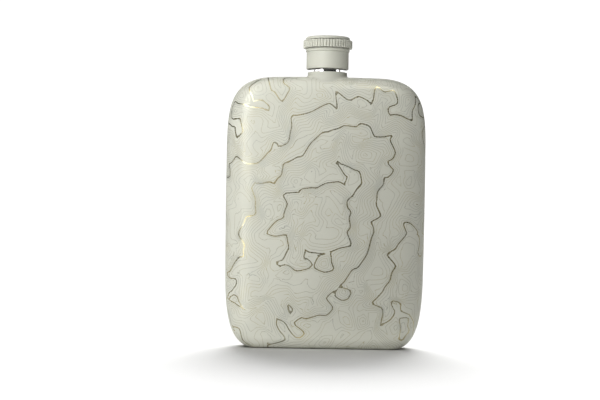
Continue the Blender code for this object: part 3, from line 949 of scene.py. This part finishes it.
def grip_ring():
    low, high = RING_FOOT_Z, RING_TOP_Z
    profile = [(RING_BORE_R, low), (9.9, low)]
    profile += [(10.25, low)]
    body = len(profile)
    ring = arc(RIB_R - 0.30, low + 0.30, 0.30, 275, 360, 6)
    ring += [(RIB_R, z) for z in (134.2, 134.8, 135.4, 136.0)]
    ring += arc(RIB_R - 0.30, high - 0.30, 0.30, 0, 85, 6)
    profile += ring
    end = len(profile)
    profile += [(10.25, high), (9.9, high), (RING_BORE_R, high)]

    def shape(k, r, z, angle):
        if not body <= k < end:
            return r, z
        groove = RIB_R - RIB_ROOT_R
        return r - groove * (1.0 - rib_wave(angle)) * np.clip((r - 10.25) / 0.4, 0.0, 1.0), z

    return turned("cap_knurled_ring", profile, RIBS * 16, paint_cap, shape, 50.0)


def top_disc():
    profile = [(0, DISC_FOOT_Z), (8.8, DISC_FOOT_Z)]
    profile += arc(DISC_R - 0.12, DISC_FOOT_Z + 0.12, 0.12, 270, 350, 4)
    profile += arc(DISC_R - 0.95, DISC_TOP_Z - 0.95, 0.95, 0, 88, 10)
    profile += [(7.5, DISC_TOP_Z), (5.0, DISC_TOP_Z), (2.5, DISC_TOP_Z), (0, DISC_TOP_Z)]
    return turned("cap_top", profile, 128, paint_cap, None, 40.0)


front = engraved_shell("front_half_engraved", -1)
back = engraved_shell("back_half_engraved", 1)
ring_collar = collar()
neck = neck_tube()
barrel = cap_barrel()
knurl = grip_ring()
top = top_disc()

for piece, body, slot, node in (
    (front, "flask", "shell_paint", "front_shell"),
    (back, "flask", "shell_paint", "back_shell"),
    (ring_collar, "flask", "shell_paint", "neck_collar"),
    (neck, "flask", "neck_steel", "threaded_neck"),
    (barrel, "cap", "cap_paint", "cap_shell"),
    (knurl, "cap", "cap_paint", "cap_grip_ring"),
    (top, "cap", "cap_paint", "cap_top_disc"),
):
    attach(piece, body)
    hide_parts(node)

# the insert and the gasket keep their CAD shapes
for node, material in (("cap_thread_insert", plastic), ("cap_gasket", silicone)):
    obj = nodes[node]
    for slot in obj.material_slots:
        slot.material = material
    if not obj.material_slots:
        obj.data.materials.append(material)


# ---- floor and light ------------------------------------------------------------------
def flat_panel(name, x0, x1, y0, y1):
    mesh = bpy.data.meshes.new(name)
    mesh.from_pydata([(x0, y0, 0), (x1, y0, 0), (x1, y1, 0), (x0, y1, 0)], [], [(0, 1, 2, 3)])
    obj = bpy.data.objects.new(name, mesh)
    bpy.context.scene.collection.objects.link(obj)
    return obj


floor_nodes = Nodes("pale_floor")
floor_tone = floor_nodes.noise(6.0, 2.0)
floor_nodes.link(
    floor_nodes.mix(floor_nodes.remap(floor_tone, 0.3, 0.7, 0.0, 1.0), (0.90, 0.90, 0.895), (0.91, 0.91, 0.905)),
    floor_nodes.shader.inputs["Base Color"],
)
floor_nodes.set(Roughness=0.85)
floor_nodes.shader.inputs["Specular IOR Level"].default_value = 0.1
floor = flat_panel("floor", -5.0, 5.0, -0.20, 8.0)
floor.data.materials.append(floor_nodes.material)


def softbox(name, place, target, width, height, radiance, spread=180.0, colour=(1, 1, 1)):
    """An even panel of that radiance. A panel's power is its radiance times its area times pi."""
    data = bpy.data.lights.new(name, "AREA")
    data.shape = "RECTANGLE"
    data.size, data.size_y = width, height
    data.spread = math.radians(spread)
    data.energy = radiance * width * height * math.pi
    data.color = colour
    obj = bpy.data.objects.new(name, data)
    obj.location = place
    obj.rotation_euler = (Vector(target) - Vector(place)).to_track_quat("-Z", "Y").to_euler()
    bpy.context.scene.collection.objects.link(obj)
    return obj


def only_on(light, name, objects):
    """The light falls on these objects alone, as a flagged studio lamp does."""
    group = bpy.data.collections.new(name)
    for obj in objects:
        group.objects.link(obj)
    light.light_linking.receiver_collection = group


key = softbox("key", (-0.10, -0.16, 0.24), (-0.02, 0.0, 0.08), 0.28, 0.28, 1.80)
strip_left = softbox("strip_left", (-0.14, -0.16, 0.12), (-0.035, 0.0, 0.065), 0.06, 0.34, 0.88, 50.0)
grazing_left = softbox("grazing_left", (-0.10, -0.25, 0.09), (-0.036, 0.0, 0.065), 0.07, 0.30, 0.15, 30.0)
grazing_right = softbox("grazing_right", (0.17, -0.24, 0.09), (0.041, 0.0, 0.065), 0.05, 0.30, 0.01, 26.0)
upper_right = softbox("upper_right", (0.055, -0.14, 0.21), (0.020, 0.0, 0.113), 0.08, 0.04, 0.25, 24.0)
cap_front = softbox("cap_front", (-0.02, -0.20, 0.15), (-0.001, 0.0, 0.131), 0.04, 0.04, 0.075, 16.0)
side_left = softbox("side_left", (-0.30, -0.06, 0.10), (0.0, 0.0, 0.07), 0.10, 0.30, 0.35)
strip_right = softbox("strip_right", (0.42, -0.18, 0.14), (0.0, 0.0, 0.10), 0.14, 0.45, 0.9)
top_box = softbox("top_box", (0.0, -0.02, 0.55), (0.0, 0.0, 0.10), 0.40, 0.40, 0.45)
fill = softbox("fill", (0.0, -0.70, 0.12), (0.0, 0.0, 0.07), 1.0, 0.5, 0.24)
behind_box = softbox("behind", (0.0, 0.75, 0.36), (0.0, 0.0, 0.06), 0.6, 0.6, 1.2)
painted = [o for o in bpy.context.scene.objects if o.type == "MESH" and o is not floor]
for lamp in (strip_left, side_left, strip_right, top_box, behind_box):
    lamp.visible_camera = False
    only_on(lamp, "lit_by_" + lamp.name, painted)
for lamp in (key, fill, grazing_left, grazing_right):
    lamp.visible_camera = False
    only_on(lamp, "lit_by_" + lamp.name, [o for o in painted if o is not neck])
for lamp, lit in ((upper_right, [front, back]), (cap_front, [barrel, knurl, top])):
    lamp.visible_camera = False
    only_on(lamp, "lit_by_" + lamp.name, lit)

# the pale table's light on the rounding of the base
table_glow = softbox("table_glow", (0.004, -0.025, 0.002), (0.004, 0.0, 0.002), 0.080, 0.004, 1.3)
table_glow.visible_camera = False
only_on(table_glow, "lit_by_table_glow", painted)


def neck_card(name, azimuth, half_angle, radiance):
    """A card for the polished neck alone. Azimuth 0 is in front of the object, 90 to its right."""
    a, away = math.radians(azimuth), 0.30
    place = (away * math.sin(a), -away * math.cos(a), 0.145)
    card = softbox(name, place, (0.0, 0.0, 0.127), 2 * away * math.tan(math.radians(half_angle)), 0.16, radiance)
    card.visible_camera = False
    only_on(card, "lit_by_" + name, [neck])


neck_card("neck_card_left", -54.5, 29.5, 1.5)
neck_card("neck_card_right", 67.0, 10.0, 1.5)
neck_card("neck_card_behind_left", -134.0, 40.0, 1.5)
neck_card("neck_card_behind_right", 128.0, 41.0, 1.5)


def overhead(name, azimuth, elevation, angle, strength):
    """A distant soft lamp for the floor. Azimuth 0 is behind the object, 90 to its right."""
    data = bpy.data.lights.new(name, "SUN")
    data.energy = strength
    data.angle = math.radians(angle)
    obj = bpy.data.objects.new(name, data)
    a, e = math.radians(azimuth), math.radians(elevation)
    towards = Vector((-math.sin(a) * math.cos(e), -math.cos(a) * math.cos(e), -math.sin(e)))
    obj.rotation_euler = towards.to_track_quat("-Z", "Y").to_euler()
    bpy.context.scene.collection.objects.link(obj)
    only_on(obj, name + "_floor", [floor])


overhead("overhead_middle", 0.0, 60.0, 42.0, 0.60)
overhead("overhead_low", 0.0, 45.0, 40.0, 2.60)
overhead("overhead_left", -62.0, 56.0, 48.0, 0.20)
overhead("overhead_right", 25.0, 60.0, 42.0, 0.70)
overhead("overhead_front", 180.0, 50.0, 50.0, 0.80)

world = bpy.data.worlds.new("studio")
bpy.context.scene.world = world
world.use_nodes = True
wt = world.node_tree
background = wt.nodes["Background"]
ray = wt.nodes.new("ShaderNodeLightPath")
seen = wt.nodes.new("ShaderNodeMix")
seen.data_type = "FLOAT"
seen.inputs["A"].default_value = 0.03
seen.inputs["B"].default_value = 1.1
wt.links.new(ray.outputs["Is Camera Ray"], seen.inputs["Factor"])
wt.links.new(seen.outputs["Result"], background.inputs["Strength"])
background.inputs["Color"].default_value = (1, 1, 1, 1)
